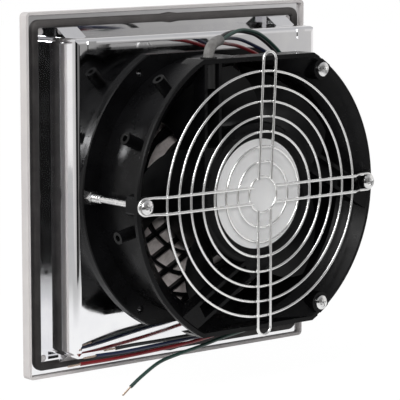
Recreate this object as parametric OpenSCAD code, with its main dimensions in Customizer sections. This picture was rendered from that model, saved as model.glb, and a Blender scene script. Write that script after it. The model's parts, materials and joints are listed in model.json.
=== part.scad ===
// Cabinet filter fan: a snap-in panel housing with a louvred cover, a filter mat and an axial fan.
// X runs across the panel, Y from the louvred front to the fan inside the cabinet, and Z is up.
// The origin is the centre of the panel seat, the plane in which the bezel's lip meets the panel.

/* [Bezel] */
// Width and height of the bezel
bezel_w = 204; // [202:1:212]
// Depth of the bezel's rim in front of the panel
bezel_depth = 6; // [5.6:0.2:8]
// Wall of the bezel's rim
bezel_wall = 1.6; // [1.2:0.1:2]
// Thickness of the bezel's front plate
bezel_plate_t = 2; // [1.6:0.1:2.4]
// Radius of the bezel's corners
bezel_r = 2.5; // [2:0.5:4]
// Width of the bezel's front round the air opening
air_margin = 20; // [19:0.5:27]

/* [Housing] */
// How far the bezel laps over the panel beside the box
panel_lap = 13.7; // [13:0.1:16]
// How far the box reaches behind the panel seat
box_depth = 25.5; // [24:0.5:34]
// Wall of the box
box_wall = 2.2; // [1.8:0.1:2.4]
// Radius of the box's edges
box_r = 3.5; // [3:0.5:5]
// Thickness of the housing's flange
flange_t = 1.6; // [1.2:0.1:2]
// Bore of the panel screw holes in the flange's corners
panel_hole_d = 4; // [3:0.1:4.2]
// Distance of the panel screw holes from the flange's edges
panel_hole_inset = 9; // [8.6:0.1:9.2]
// Width of the gasket's strip
gasket_w = 4.6; // [4:0.2:4.8]
// Radius of the gasket's outer corners
gasket_r = 6; // [5:0.5:7]

/* [Latches] */
// Width of one snap latch
latch_w = 14; // [10:1:16]
// Distance of a latch's middle from the box's side
latch_inset = 11.3; // [11:0.1:18]
// How far a latch's hook stands out of the wall
latch_rise = 5; // [3:0.5:5.5]
// Space behind the hook for the panel's sheet
panel_grip = 2.5; // [1.5:0.5:4]

/* [Filter and cover] */
// Thickness of the filter mat
mat_t = 12; // [8:1:13]
// Clearance between the filter mat and the box's walls
mat_gap = 7.1; // [6:0.1:8]
// Depth of the lattice's ribs
lattice_t = 3; // [2.5:0.5:5]
// Width of one rib of the lattice
lattice_rib = 1.8; // [1.4:0.2:3]
// Distance between the lattice's parallel ribs
lattice_pitch = 11.4; // [10:0.2:16]
// Distance between the lattice's rings
lattice_ring_pitch = 12; // [10:0.5:16]
// Distance of the louvred cover's edges from the bezel's edges
cover_inset = 10; // [7:0.5:12]
// Thickness of the louvred cover
cover_t = 4.4; // [4:0.2:5]
// Distance between two louvre slats
slat_pitch = 10; // [9:0.5:14]
// Thickness of one slat along the air's way
slat_t = 1.5; // [1.2:0.1:2]
// Diameter of the cover's hinge pins
pin_d = 2.4; // [2:0.1:2.6]

/* [Fan frame] */
// Distance of the fan's round sides from the box's sides
fan_margin = 2.3; // [1.5:0.1:4]
// How much each flat side cuts off the fan's round rim
fan_flat = 10; // [8:0.5:11]
// Depth of the fan frame
fan_t = 51; // [50:0.5:54]
// Height of the fan's axis above the bezel's centre
fan_rise = 2; // [0:0.5:3]
// Width of the fan's rims beside the throat
rim_w = 14; // [13.5:0.1:15]
// Wall of the fan frame
frame_wall = 2.5; // [2:0.1:3]
// Thickness of the two rims of the fan frame
rim_t = 3.5; // [3:0.1:4]
// Length of the flare at the open side
flare_l = 14; // [12:0.5:15]
// Distance of the mounting bolts from the fan's round rim
bolt_edge = 5; // [4.5:0.1:6]
// Angle of the corner bolts above the horizontal
bolt_angle = 55; // [50:1:57]
// Thread of the mounting bolts
bolt_d = 4; // [3:0.5:4]
// Clearance round a bolt's shank
bolt_gap = 0.2; // [0.1:0.1:0.4]
// Diameter of a bolt's head
head_d = 8; // [7:0.5:8.5]
// Height of a bolt's head
head_h = 2.6; // [2:0.1:3]
// Width across the flats of a nut
nut_af = 7; // [5.5:0.5:8]
// Height of a nut
nut_h = 3.2; // [2.4:0.1:4]

/* [Motor] */
// Diameter of the motor base that carries the label
base_d = 80; // [78:1:84]
// Thickness of the motor base
base_t = 8.4; // [7.5:0.1:9]
// Diameter of the label on the motor base
label_d = 61; // [50:1:66]
// Thickness of the label
label_t = 0.4; // [0.3:0.1:0.6]
// Width of one strut between the motor base and the frame
strut_w = 12; // [11:0.5:13]
// Distance of a strut's centre line from the fan's axis
strut_offset = 33; // [31:0.5:34]
// Diameter of the shaft
shaft_d = 6; // [5:0.5:6]
// Running clearance between the shaft and a bearing, on the radius
shaft_gap = 0.04; // [0.02:0.01:0.08]
// Outer diameter of the bearings
bearing_d = 16; // [15:0.5:16]
// Width of a bearing
bearing_w = 5; // [4:0.5:5.5]
// Diameter of the rotor cup
cup_d = 67; // [66:0.5:68]
// Wall of the rotor cup
cup_wall = 3.5; // [3:0.1:4]
// Air gap between the stator and the rotor cup
air_gap = 0.6; // [0.4:0.1:1]
// Length of the stator's stack
stack_l = 15; // [12:0.5:16]
// Number of stator teeth
teeth = 8; // [6:1:8]
// Width of one stator tooth
tooth_w = 6; // [5:0.2:6.2]

/* [Impeller] */
// Number of blades
blades = 5; // [4:1:7]
// Clearance between the blade tips and the throat
tip_gap = 1.5; // [1:0.1:3]
// Wall of the impeller's hub ring
hub_wall = 2.8; // [2.5:0.1:3.2]
// Axial depth of the impeller
impeller_l = 31; // [28:0.5:32]
// Thickness of a blade at its middle
blade_t = 2.4; // [1.8:0.1:3]
// Angle that one blade spans round the axis
blade_span = 50; // [40:1:56]
// Angle of the first blade at rest
blade_start = 10; // [0:1:71]

/* [Guard] */
// Distance of the outer guard ring from the throat's wall
guard_inset = 4; // [3:0.5:7]
// Diameter of the inner guard ring
guard_eye_d = 19.8; // [18:0.2:24]
// Number of guard rings
guard_rings_n = 8; // [6:1:8]
// Wire of the rings
ring_wire = 1.5; // [1.3:0.1:2]
// Wire of the hairpin legs
leg_wire = 1.7; // [1.5:0.1:2.2]
// Distance between the two wires of a hairpin leg
leg_gap = 9; // [8.8:0.1:9.6]
// How far the free legs reach past the outer ring
leg_out = 11.5; // [8:0.5:12]
// Lean of the upper leg
leg_lean = 2.6; // [0:0.2:4]
// Height of the guard above the frame's rim
guard_rise = 3.4; // [3:0.1:5]

/* [Leads] */
// Diameter of the grey sleeve
sleeve_d = 5.8; // [5:0.2:6]
// Diameter of one lead
lead_d = 2; // [1.6:0.1:2.2]
// Diameter of the stripped wire
core_d = 1.1; // [0.8:0.1:1.4]

/* [Hidden] */
$fn = 64;
// Gap between pieces that lie against each other
seat_gap = 0.05;
// Gap beside pieces that move
move_gap = 0.4;
// Overlap that joins shapes of one piece
bond = 0.5;

// Widths that follow the bezel, from the outside inwards
box_w = bezel_w - 2 * panel_lap;
air_open_w = bezel_w - 2 * air_margin;
cover_w = bezel_w - 2 * cover_inset;
fan_d = box_w - 2 * fan_margin;
fan_h = fan_d - 2 * fan_flat;
throat_d = fan_d - 2 * rim_w;
bolt_circle = fan_d - 2 * bolt_edge;
guard_d = throat_d - 2 * guard_inset;

// Bezel and housing
plate_y = -bezel_depth + bezel_plate_t;
flange_y = plate_y + seat_gap;
flange_w = bezel_w - 2 * bezel_wall - 2 * move_gap;
gasket_y = flange_y + flange_t + seat_gap;
panel_hole_span = flange_w - 2 * panel_hole_inset;
gasket_inset = 2.2;
gasket_out = flange_w - 2 * gasket_inset;
gasket_in_r = 3;
box_in = box_w - 2 * box_wall;
wall_y = box_depth - box_wall;
pad_w = 5.5;
pad_t = 0.4;
pad_inset = 11.8;
pad_drop = 4.3;
pad_x = box_w / 2 - pad_inset;
pad_z = box_w / 2 - pad_drop;

// Snap latches, hinged at the rear end of their tongues
latch_span = box_w - 2 * latch_inset;
latch_y0 = 1;
latch_y1 = wall_y - 3;
latch_z = (box_w - box_wall) / 2;
hook_l = 9;
latch_ends = [[1, 1], [-1, 1], [1, -1], [-1, -1]];

// Lattice, mat and cover
lattice_y = wall_y - lattice_t - seat_gap;
lattice_d = bolt_circle - bolt_d - 2;
lattice_rim = 4;
lattice_lean = 27;
lattice_shift = 2.1;
lattice_rings_n = 5;
lattice_ring_inset = 14.5;
mat_w = box_in - 2 * mat_gap;
mat_y = lattice_y - mat_t - 0.3;
cover_y1 = -bezel_depth - 0.3;
cover_y0 = cover_y1 - cover_t;
pivot_y = (cover_y0 + cover_y1) / 2;
pivot_z = -cover_w / 2 + cover_t / 2;
cover_rim = 11;
slat_lean = 5;
lug_w = 4;
lug_inset = 14;
lug_x = cover_w / 2 - lug_inset;
pin_l = 16;
pin_gap = 0.05;
tongue_w = 12;
tongue_t = 1.6;
tongue_l = 3.2;
tongue_inset = 37;
tongue_x = cover_w / 2 - tongue_inset;

// Fan frame
fan_y = box_depth + seat_gap;
fan_r = fan_d / 2;
throat_r = throat_d / 2;
barrel_r = throat_r + frame_wall;
flare_r = fan_r - 2.6;
rim_y = fan_y + fan_t;
boss_d = 12;
boss_l = 10;
clip_boss_d = 7;
clip_hole_d = 3.6;
clip_rise = 30;
clip_boss_y = fan_y + clip_rise;
clip_angles = [-13, 24, 50];
bolt_r = bolt_circle / 2;
bolt_hole = bolt_d + 2 * bolt_gap;
guard_bolts_at = [0, 180];
corner_bolts_at = [180 - bolt_angle, 180 + bolt_angle];
spare_holes_at = [bolt_angle, -bolt_angle];
flange_y1 = fan_y + rim_t;
flare_y = rim_y - flare_l - 1;
edge_cut = 0.6;

// Motor, stacked from the base towards the panel
base_y1 = rim_y - 0.6;
base_y0 = base_y1 - base_t;
base_r = 3;
strut_t = 9.2;
channel_w = 8;
channel_t = 8;
sleeve_depth = 3.95;
channel_y = base_y1 - sleeve_depth;
channel_z0 = base_d / 2 - 12;
channel_z1 = throat_r - 6;
sleeve_z1 = fan_h / 2 - frame_wall;
cup_y1 = base_y0 - 1.5;
cup_y0 = fan_y + 9;
cup_floor = 3;
shaft_end = base_y0 + 2.6;
tube_d = bearing_d + 4;
tube_y0 = cup_y0 + cup_floor + 1;
front_bearing_y = tube_y0 + 0.3;
rear_bearing_y = base_y0 - bearing_w - 0.6;
shoulder_d = bearing_d - 3;
spring_t = 1.2;
spring_y = front_bearing_y + bearing_w + seat_gap;
clip_t = 0.8;
clip_y = rear_bearing_y + bearing_w + 0.9;
clip_d = shaft_d + 3.2;
groove_d = shaft_d - 0.8;
well_d = clip_d + 2;
stator_d = cup_d - 2 * cup_wall - 2 * air_gap;
stack_y = (front_bearing_y + bearing_w + rear_bearing_y - stack_l) / 2;
slot_r0 = tube_d / 2 + 3.5;
slot_r1 = stator_d / 2 - 3;
slot_mouth = 2;
coil_t = 1.9;
coil_gap = 0.1;
coil_r0 = slot_r0 + 1.5;
coil_r1 = slot_r1 - 1;

// Impeller
hub_r0 = cup_d / 2 + seat_gap;
hub_r1 = hub_r0 + hub_wall;
tip_r = throat_r - tip_gap;
impeller_y = cup_y0;
blade_rows = 8;
blade_steps = 10;
blade_sweep = -21;
blade_twist = 9;
blade_edge = 1;
blade_bow = 3;

// Guard
ring_y = rim_y + guard_rise - ring_wire / 2;
weld = 0.15;
leg_y = ring_y + (ring_wire + leg_wire) / 2 - weld;
eye_y = rim_y + leg_wire / 2 + seat_gap;
inner_ring_r = guard_eye_d / 2;
guard_pitch = (guard_d / 2 - inner_ring_r) / (guard_rings_n - 1);
leg_reach = guard_d / 2 + leg_out;
joggle_r0 = guard_d / 2 + 1;
joggle_r1 = joggle_r0 + 6;
bend_swell = 0.1;
guard_head_y = rim_y + leg_wire + 2 * seat_gap;
bolt_end = wall_y - 0.8;
nut_y = fan_y + rim_t + seat_gap;

// Leads: the sleeve, then four leads round the fan's right side as seen from behind
grommet_y = channel_y;
grommet_wall = 0.8;
grommet_d = sleeve_d + 2 * grommet_wall;
grommet_l = 16;
grommet_gap = 0.15;
grommet_collar = 0.8;
sleeve_path = [[33, 72, 62], [33, 72, 68], [33, 72, 74], [33, 72, 79], [31.5, 71, 82.5], [28, 69, 85],
    [23, 66.2, 86.3], [18, 63.5, 86.8]];
lead_black = [[18, 63.5, 88.3], [9, 59.5, 90], [0, 56.5, 90.5], [-9, 54.5, 89.5], [-18, 53.5, 87], [-29, 53, 80],
    [-38, 53, 71], [-50, 53, 60], [-65, 53, 43], [-75, 53, 21], [-77, 53, -3], [-71, 53, -27], [-59, 52.5, -48],
    [-41, 52, -64], [-18, 50.5, -75], [4, 49.5, -78], [25, 46, -79], [45, 43, -80], [60, 39, -81], [70, 36.5, -82]];
lead_green = [[18, 65, 86.8], [9, 62, 89.5], [0, 60, 91.3], [-9, 58.5, 90.5], [-18, 57.5, 87.5], [-29, 57, 80],
    [-38, 57, 71], [-50, 57, 60], [-65, 57, 43], [-75, 57, 21], [-77, 57, -3], [-71, 57, -27], [-59, 57, -48],
    [-41, 57, -64], [-18, 56.5, -76], [8, 56, -80.5], [25, 56, -83.5], [41, 57, -85.5], [56, 58, -88],
    [70, 60, -93.5], [78, 60, -98.5]];
lead_blue = [[18, 62, 86.8], [9, 57, 87], [0, 53, 86.5], [-9, 50.5, 85], [-19, 49.3, 81.5], [-29, 49, 77],
    [-38, 49, 70.5], [-50, 49, 60], [-65, 49, 43], [-75, 49, 21], [-77, 49, -3], [-71, 49, -27], [-59, 48.5, -48],
    [-41, 48, -64], [-18, 47, -76], [4, 46.5, -79.5], [25, 45, -81], [45, 42, -82.5], [65, 39, -84], [83, 36, -84.5]];
lead_red = [[18, 63.5, 85.3], [9, 57, 84.3], [0, 51, 83], [-9, 47.5, 81.5], [-19, 45.5, 78.5], [-29, 45, 74],
    [-38, 45, 68.5], [-50, 45, 60], [-65, 45, 43], [-75, 45, 21], [-77, 45, -3], [-71, 45, -27], [-59, 44.5, -48],
    [-41, 44, -65], [-18, 43, -78], [4, 42.5, -82], [25, 41.5, -84.5], [45, 39.5, -86], [70, 37, -87.5],
    [93, 35, -88]];
core_tips = [[lead_black, [77, 35, -82.5]], [lead_green, [83.5, 60, -102.5]], [lead_blue, [91, 35, -85]],
    [lead_red, [101, 34, -88.5]]];
core_gap = 0.1;
lead_sides = 8;

// A flat outline in X and Z, made into a plate from y0 to y0 + t
module plate(y0, t) {
    translate([0, y0 + t, 0]) rotate([90, 0, 0]) linear_extrude(t) children();
}

// A square with round corners, centred
module round_square(w, r) {
    square([w - 2 * r, w], center = true);
    square([w, w - 2 * r], center = true);
    for (x = [-1, 1], z = [-1, 1]) translate([x * (w / 2 - r), z * (w / 2 - r)]) circle(r);
}

// A profile of radius and Y, turned round the Y axis
module turned() {
    rotate([-90, 0, 0]) rotate_extrude() children();
}

// A round bar or bore along Y from y0 to y1
module bar_y(d, y0, y1) {
    translate([0, y0, 0]) rotate([-90, 0, 0]) cylinder(d = d, h = y1 - y0);
}

// A ring along Y from y0 to y1
module ring_y(d1, d0, y0, y1) {
    difference() {
        bar_y(d1, y0, y1);
        bar_y(d0, y0 - 1, y1 + 1);
    }
}

// A straight round rod between two points
module rod(p, q, d) {
    v = q - p;
    translate(p)
        rotate([0, acos(v[2] / norm(v)), atan2(v[1], v[0])])
            cylinder(d = d, h = norm(v));
}

// Children about the fan's axis
module on_axis() {
    translate([0, 0, fan_rise]) children();
}

// Children at a place on the bolt circle, at an angle from +X towards +Z
module at_bolt(a) {
    translate([bolt_r * cos(a), 0, bolt_r * sin(a)]) children();
}

module bezel() {
    color("gainsboro") {
        difference() {
            plate(-bezel_depth, bezel_depth) round_square(bezel_w, bezel_r);
            plate(plate_y, bezel_depth) round_square(bezel_w - 2 * bezel_wall, 1);
            plate(-bezel_depth - 1, bezel_plate_t + 2) square(air_open_w, center = true);
        }
        for (side = [-1, 1]) hinge_lug(side);
    }
}

// A lug on the bezel's front that holds one hinge pin of the cover
module hinge_lug(side) {
    translate([side * lug_x - lug_w / 2, 0, 0])
        difference() {
            union() {
                translate([0, pivot_y, pivot_z - cover_t / 2])
                    cube([lug_w, -bezel_depth + bond - pivot_y, cover_t]);
                translate([0, pivot_y, pivot_z]) rotate([0, 90, 0]) cylinder(d = cover_t, h = lug_w);
            }
            translate([-1, pivot_y, pivot_z])
                rotate([0, 90, 0]) cylinder(d = pin_d + 2 * pin_gap, h = lug_w + 2);
        }
}

// The box's section, with round edges at the rear
module box_section() {
    h = box_w / 2;
    translate([-h, flange_y]) square([box_w, box_depth - box_r - flange_y]);
    translate([-h + box_r, flange_y]) square([box_w - 2 * box_r, box_depth - flange_y]);
    for (x = [-1, 1]) translate([x * (h - box_r), box_depth - box_r]) circle(box_r);
}

module housing() {
    color("silver")
        difference() {
            union() {
                plate(flange_y, flange_t) round_square(flange_w, bezel_r);
                intersection() {
                    plate(flange_y, box_depth - flange_y) round_square(box_w, box_r);
                    linear_extrude(box_w + 2, center = true) box_section();
                    rotate([0, 90, 0]) linear_extrude(box_w + 2, center = true) box_section();
                }
                for (x = [-1, 1])
                    translate([x * pad_x, box_depth - bond + pad_t, pad_z])
                        cube([pad_w, 2 * bond, pad_w], center = true);
            }
            plate(flange_y - 1, wall_y - flange_y + 1) square(box_in, center = true);
            on_axis() bar_y(throat_d, wall_y - 1, box_depth + 1);
            for (end = latch_ends) latch_window(end);
            for (x = [-1, 1], z = [-1, 1])
                translate([x * panel_hole_span / 2, 0, z * panel_hole_span / 2])
                    bar_y(panel_hole_d, flange_y - 1, flange_y + flange_t + 1);
            on_axis() for (a = concat(guard_bolts_at, corner_bolts_at))
                at_bolt(a) bar_y(bolt_hole, wall_y - 1, box_depth + 1);
        }
}

// The window in the wall round one latch's tongue
module latch_window(end) {
    w = latch_w + 2 * move_gap;
    l = latch_y1 + box_wall / 2 + move_gap;
    translate([end[0] * latch_span / 2 - w / 2, latch_y0 - move_gap, end[1] * latch_z - box_wall])
        cube([w, l - latch_y0 + move_gap, 2 * box_wall]);
}

module gasket() {
    color("dimgray")
        plate(gasket_y, -gasket_y)
            difference() {
                round_square(gasket_out, gasket_r);
                round_square(gasket_out - 2 * gasket_w, gasket_in_r);
            }
}

// One snap latch: a tongue in the wall with a wedge hook that grips the panel's edge
module latch(end) {
    z0 = latch_z - box_wall / 2;
    z1 = latch_z + box_wall / 2;
    top = z1 + latch_rise;
    color("silver")
        translate([end[0] * latch_span / 2, 0, 0])
            mirror([0, 0, end[1] < 0 ? 1 : 0])
                rotate([90, 0, 90])
                    linear_extrude(latch_w, center = true) {
                        polygon([[latch_y0, z0], [latch_y1, z0], [latch_y1, z1], [panel_grip + hook_l, z1],
                            [panel_grip + 1, top], [panel_grip, top], [panel_grip, z1], [latch_y0, z1]]);
                        translate([latch_y1, latch_z]) circle(d = box_wall);
                    }
}

module latch_upper_left() { latch(latch_ends[0]); }

module latch_upper_right() { latch(latch_ends[1]); }

module latch_lower_left() { latch(latch_ends[2]); }

module latch_lower_right() { latch(latch_ends[3]); }

module filter_mat() {
    color("rosybrown") plate(mat_y, mat_t) square(mat_w, center = true);
}

// The black moulded lattice between the mat and the fan: a rim with rings and parallel ribs
module intake_lattice() {
    n = floor(lattice_d / 2 / lattice_pitch);
    color("#202022")
        on_axis()
            plate(lattice_y, lattice_t) {
                ring_flat(lattice_d / 2 - lattice_rim / 2, lattice_rim);
                for (i = [0:lattice_rings_n - 1])
                    ring_flat(lattice_d / 2 - lattice_ring_inset - i * lattice_ring_pitch, lattice_rib);
                intersection() {
                    circle(d = lattice_d - lattice_rim);
                    rotate(-lattice_lean)
                        for (k = [-n:n])
                            translate([0, lattice_shift + k * lattice_pitch])
                                square([lattice_d, lattice_rib], center = true);
                }
            }
}

// A flat ring on a radius
module ring_flat(r, w) {
    difference() {
        circle(r + w / 2);
        circle(r - w / 2);
    }
}

module front_cover() {
    color("gainsboro") {
        difference() {
            union() {
                translate([-cover_w / 2, cover_y0, pivot_z])
                    cube([cover_w, cover_t, cover_w - cover_t / 2]);
                translate([-cover_w / 2, pivot_y, pivot_z]) rotate([0, 90, 0]) cylinder(d = cover_t, h = cover_w);
            }
            translate([-cover_w / 2 + cover_rim, cover_y0 - 1, -cover_w / 2 + cover_rim])
                cube([cover_w - 2 * cover_rim, cover_t + 2, cover_w - 2 * cover_rim]);
            for (side = [-1, 1]) {
                translate([side * lug_x - lug_w / 2 - move_gap, cover_y0 - 1, -cover_w / 2 - 1])
                    cube([lug_w + 2 * move_gap, cover_t + 2, cover_t + 2]);
                translate([side * lug_x - pin_l / 2 - seat_gap, pivot_y, pivot_z])
                    rotate([0, 90, 0]) cylinder(d = pin_d + seat_gap, h = pin_l + 2 * seat_gap);
            }
        }
        slats();
        for (side = [-1, 1])
            translate([side * tongue_x - tongue_w / 2, cover_y1 - bond, air_open_w / 2 - tongue_t - move_gap])
                cube([tongue_w, tongue_l + bond, tongue_t]);
    }
}

// The louvre slats, leaning so that rain runs off outside
module slats() {
    n = floor((cover_w - 2 * cover_rim - slat_lean) / slat_pitch);
    first = -(n - 1) * slat_pitch / 2 - slat_lean / 2;
    for (i = [0:n - 1])
        translate([-cover_w / 2 + cover_rim - bond, 0, first + i * slat_pitch])
            rotate([90, 0, 90])
                linear_extrude(cover_w - 2 * cover_rim + 2 * bond)
                    polygon([[cover_y0, 0], [cover_y0 + slat_t, 0], [cover_y1, slat_lean - 1],
                        [cover_y1, slat_lean], [cover_y1 - slat_t, slat_lean]]);
}

module cover_pins() {
    color("gainsboro")
        for (side = [-1, 1])
            translate([side * lug_x - pin_l / 2, pivot_y, pivot_z])
                rotate([0, 90, 0]) cylinder(d = pin_d, h = pin_l);
}

// The flare's section: from the barrel out to the rim, with broken edges
module flare_profile() {
    polygon([[throat_r, flare_y], [barrel_r, flare_y], [flare_r - 1, rim_y - rim_t], [fan_r - edge_cut, rim_y - rim_t],
        [fan_r, rim_y - rim_t + edge_cut], [fan_r, rim_y - edge_cut], [fan_r - edge_cut, rim_y],
        [flare_r + edge_cut / 2, rim_y], [throat_r, rim_y - flare_l]]);
}

// What lies inside the flare, less a clearance, to trim the struts
module flare_core() {
    intersection() {
        turned()
            polygon([[0, flare_y], [throat_r - seat_gap, flare_y], [throat_r - seat_gap, rim_y - flare_l],
                [flare_r - seat_gap, rim_y], [0, rim_y]]);
        flat_sides(2 * (frame_wall + seat_gap));
    }
}

// The space between the frame's flat sides
module flat_sides(inset = 0) {
    translate([-fan_d, fan_y - 1, -fan_h / 2 + inset / 2])
        cube([2 * fan_d, fan_t + 2, fan_h - inset]);
}

// The open side of the frame: the flare with its rim, flat sides and bolt bosses
module fan_frame() {
    color("#1a1a1c")
        on_axis()
            difference() {
                intersection() {
                    union() {
                        turned() flare_profile();
                        flat_walls();
                        bolt_bosses();
                    }
                    flat_sides();
                    bar_y(fan_d, flare_y, rim_y);
                }
                for (a = concat(guard_bolts_at, corner_bolts_at))
                    at_bolt(a) bar_y(bolt_hole, fan_y, rim_y + 1);
                translate([strut_offset, grommet_y, fan_h / 2 - grommet_l - 1])
                    cylinder(d = grommet_d + 2 * seat_gap, h = grommet_l + 3);
            }
}

// The frame's barrel, with small radial tubes outside
module fan_barrel() {
    color("#1a1a1c")
        on_axis()
            difference() {
                union() {
                    ring_y(2 * barrel_r, throat_d, flange_y1 + seat_gap, flare_y - seat_gap);
                    for (a = clip_angles) clip_boss(a);
                }
                for (a = clip_angles)
                    rotate([0, -a, 0])
                        translate([barrel_r, clip_boss_y, 0]) rotate([0, 90, 0]) cylinder(d = clip_hole_d, h = fan_r);
            }
}

// The frame's flat rim on the box
module fan_flange() {
    color("#1a1a1c")
        on_axis()
            difference() {
                intersection() {
                    turned()
                        polygon([[throat_r, fan_y], [fan_r, fan_y], [fan_r, flange_y1 - edge_cut],
                            [fan_r - edge_cut, flange_y1], [throat_r, flange_y1]]);
                    flat_sides();
                }
                for (a = concat(guard_bolts_at, corner_bolts_at, spare_holes_at))
                    at_bolt(a) bar_y(bolt_hole, fan_y - 1, rim_y + 1);
            }
}

// The motor's base with its bearing tube, on three struts
module motor_spider() {
    color("#1a1a1c")
        on_axis()
            difference() {
                union() {
                    intersection() {
                        struts();
                        flare_core();
                    }
                    motor_base();
                }
                channel();
                base_cuts();
                for (a = concat(guard_bolts_at, corner_bolts_at))
                    at_bolt(a) bar_y(boss_d + 2 * seat_gap, fan_y, rim_y + 1);
            }
}

// Flat walls that close the flare along the frame's flat sides
module flat_walls() {
    for (side = [-1, 1])
        translate([-fan_r, rim_y - flare_l, side > 0 ? fan_h / 2 - frame_wall : -fan_h / 2])
            cube([fan_d, flare_l, frame_wall]);
}

// Bosses that carry the bolts from the flare up to the rim's plane
module bolt_bosses() {
    for (a = concat(guard_bolts_at, corner_bolts_at))
        at_bolt(a) bar_y(boss_d, rim_y - boss_l, rim_y);
}

// A small radial tube on the barrel's outside, at an angle from +X towards +Z
module clip_boss(a) {
    rotate([0, -a, 0])
        translate([barrel_r - frame_wall / 2, clip_boss_y, 0])
            rotate([0, 90, 0]) cylinder(d = clip_boss_d, h = fan_r - barrel_r + frame_wall / 2 - 1);
}

// Three struts that leave the motor base tangentially
module struts() {
    for (i = [0:2])
        rotate([0, 120 * i, 0])
            translate([strut_offset - strut_w / 2, base_y1 - strut_t, 0]) cube([strut_w, strut_t, fan_r]);
}

// The channels in the struts, one of which holds the sleeve
module channel() {
    for (i = [0:2])
        rotate([0, 120 * i, 0])
            translate([strut_offset - channel_w / 2, base_y1 - channel_t, channel_z0])
                cube([channel_w, channel_t + 1, (i == 0 ? sleeve_z1 : channel_z1) - channel_z0]);
}

// The round base that carries the motor, with its bearing tube
module motor_base() {
    r = base_d / 2;
    turned() {
        translate([0, base_y0]) square([r - base_r, base_t]);
        translate([0, base_y0]) square([r, base_t - base_r]);
        translate([r - base_r, base_y1 - base_r]) circle(base_r);
        translate([0, tube_y0]) square([tube_d / 2, base_y0 + bond - tube_y0]);
    }
}

// The label's recess, the bearing seats and the well for the shaft's end
module base_cuts() {
    bar_y(label_d + 2 * seat_gap, base_y1 - label_t, base_y1 + 1);
    bar_y(shoulder_d, tube_y0 - 1, base_y0);
    bar_y(bearing_d, tube_y0 - 1, spring_y + spring_t);
    bar_y(bearing_d, rear_bearing_y, base_y0);
    bar_y(well_d, base_y0 - bond, shaft_end + 1);
}

module motor_label() {
    color("lightgray") on_axis() bar_y(label_d, base_y1 - label_t + 0.02, base_y1 + 0.02);
}

module stator_core() {
    color("slategray")
        on_axis()
            plate(stack_y, stack_l)
                difference() {
                    circle(d = stator_d);
                    difference() {
                        circle(slot_r1);
                        circle(slot_r0);
                        for (i = [0:teeth - 1])
                            rotate(360 / teeth * i) translate([0, -tooth_w / 2]) square([stator_d, tooth_w]);
                    }
                    for (i = [0:teeth - 1])
                        rotate(360 / teeth * (i + 0.5))
                            translate([slot_r1 - bond, -slot_mouth / 2]) square([stator_d, slot_mouth]);
                    circle(d = tube_d + 2 * seat_gap);
                }
}

// One wound coil round each tooth
module stator_coils() {
    color("chocolate")
        on_axis()
            for (i = [0:teeth - 1])
                rotate([0, 360 / teeth * i, 0])
                    translate([coil_r0, stack_y + stack_l / 2, 0])
                        rotate([90, 0, 90])
                            linear_extrude(coil_r1 - coil_r0)
                                difference() {
                                    square([stack_l + 2 * (coil_t + coil_gap), tooth_w + 2 * (coil_t + coil_gap)],
                                        center = true);
                                    square([stack_l + 2 * coil_gap, tooth_w + 2 * coil_gap], center = true);
                                }
}

// One ball bearing as a ring
module bearing(y0) {
    color("lightsteelblue")
        on_axis() ring_y(bearing_d - 2 * shaft_gap, shaft_d + 2 * shaft_gap, y0, y0 + bearing_w);
}

module front_bearing() { bearing(front_bearing_y); }

module rear_bearing() { bearing(rear_bearing_y + seat_gap); }

module preload_spring() {
    color("gray")
        on_axis() ring_y(bearing_d - 0.6, shoulder_d - 2, spring_y, spring_y + spring_t - seat_gap);
}

module shaft() {
    color("lightgray")
        on_axis()
            difference() {
                bar_y(shaft_d, cup_y0, shaft_end);
                ring_y(shaft_d + 2, groove_d, clip_y - seat_gap, clip_y + clip_t + seat_gap);
            }
}

// The clip that keeps the shaft in its bearings
module shaft_clip() {
    color("darkgray")
        on_axis()
            difference() {
                ring_y(clip_d, groove_d + 2 * seat_gap, clip_y, clip_y + clip_t);
                translate([0, clip_y - 1, -groove_d / 3]) cube([clip_d, clip_t + 2, groove_d / 1.5]);
            }
}

module rotor_cup() {
    color("darkslategray")
        on_axis()
            difference() {
                bar_y(cup_d, cup_y0, cup_y1);
                bar_y(cup_d - 2 * cup_wall, cup_y0 + cup_floor, cup_y1 + 1);
                bar_y(shaft_d + 0.02, cup_y0 - 1, cup_y1);
            }
}

function mix(a, b, t) = a + (b - a) * t;

// A point on one face of a blade: u from root to tip, v from the front edge to the rear edge
function blade_point(u, v, face) =
    let (
        r = mix(hub_r1 - hub_wall / 2, tip_r, u),
        spread = blade_span / 2 + blade_twist * (1 - u) / 2,
        a = -blade_sweep * u * u + mix(spread, -spread, v),
        rise = impeller_l * mix(0.94, 0.82, u),
        bow = blade_bow * (sin(180 * v) - 0.5),
        half = face * mix(blade_edge, blade_t, sin(180 * v)) / 2
    )
    [r * sin(a), impeller_y + impeller_l / 2 + rise * (v - 0.5) + bow + half, r * cos(a)];

module blade() {
    row = blade_steps + 1;
    ring = 2 * row;
    points = [for (i = [0:blade_rows]) each concat(
        [for (j = [0:blade_steps]) blade_point(i / blade_rows, j / blade_steps, -1)],
        [for (j = [blade_steps:-1:0]) blade_point(i / blade_rows, j / blade_steps, 1)])];
    sides = [for (i = [0:blade_rows - 1], j = [0:ring - 1])
        each [[i * ring + j, (i + 1) * ring + (j + 1) % ring, (i + 1) * ring + j],
            [i * ring + j, i * ring + (j + 1) % ring, (i + 1) * ring + (j + 1) % ring]]];
    caps = [for (j = [0:blade_steps - 1])
        each [[j, ring - 2 - j, j + 1], [j, ring - 1 - j, ring - 2 - j]]];
    far = blade_rows * ring;
    tips = [for (t = caps) [far + t[2], far + t[1], far + t[0]]];
    polyhedron(points, concat(sides, caps, tips));
}

module impeller() {
    color("#141416")
        on_axis() {
            ring_y(2 * hub_r1, 2 * hub_r0, impeller_y, impeller_y + impeller_l);
            for (i = [0:blades - 1]) rotate([0, blade_start + 360 / blades * i, 0]) blade();
        }
}

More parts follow.
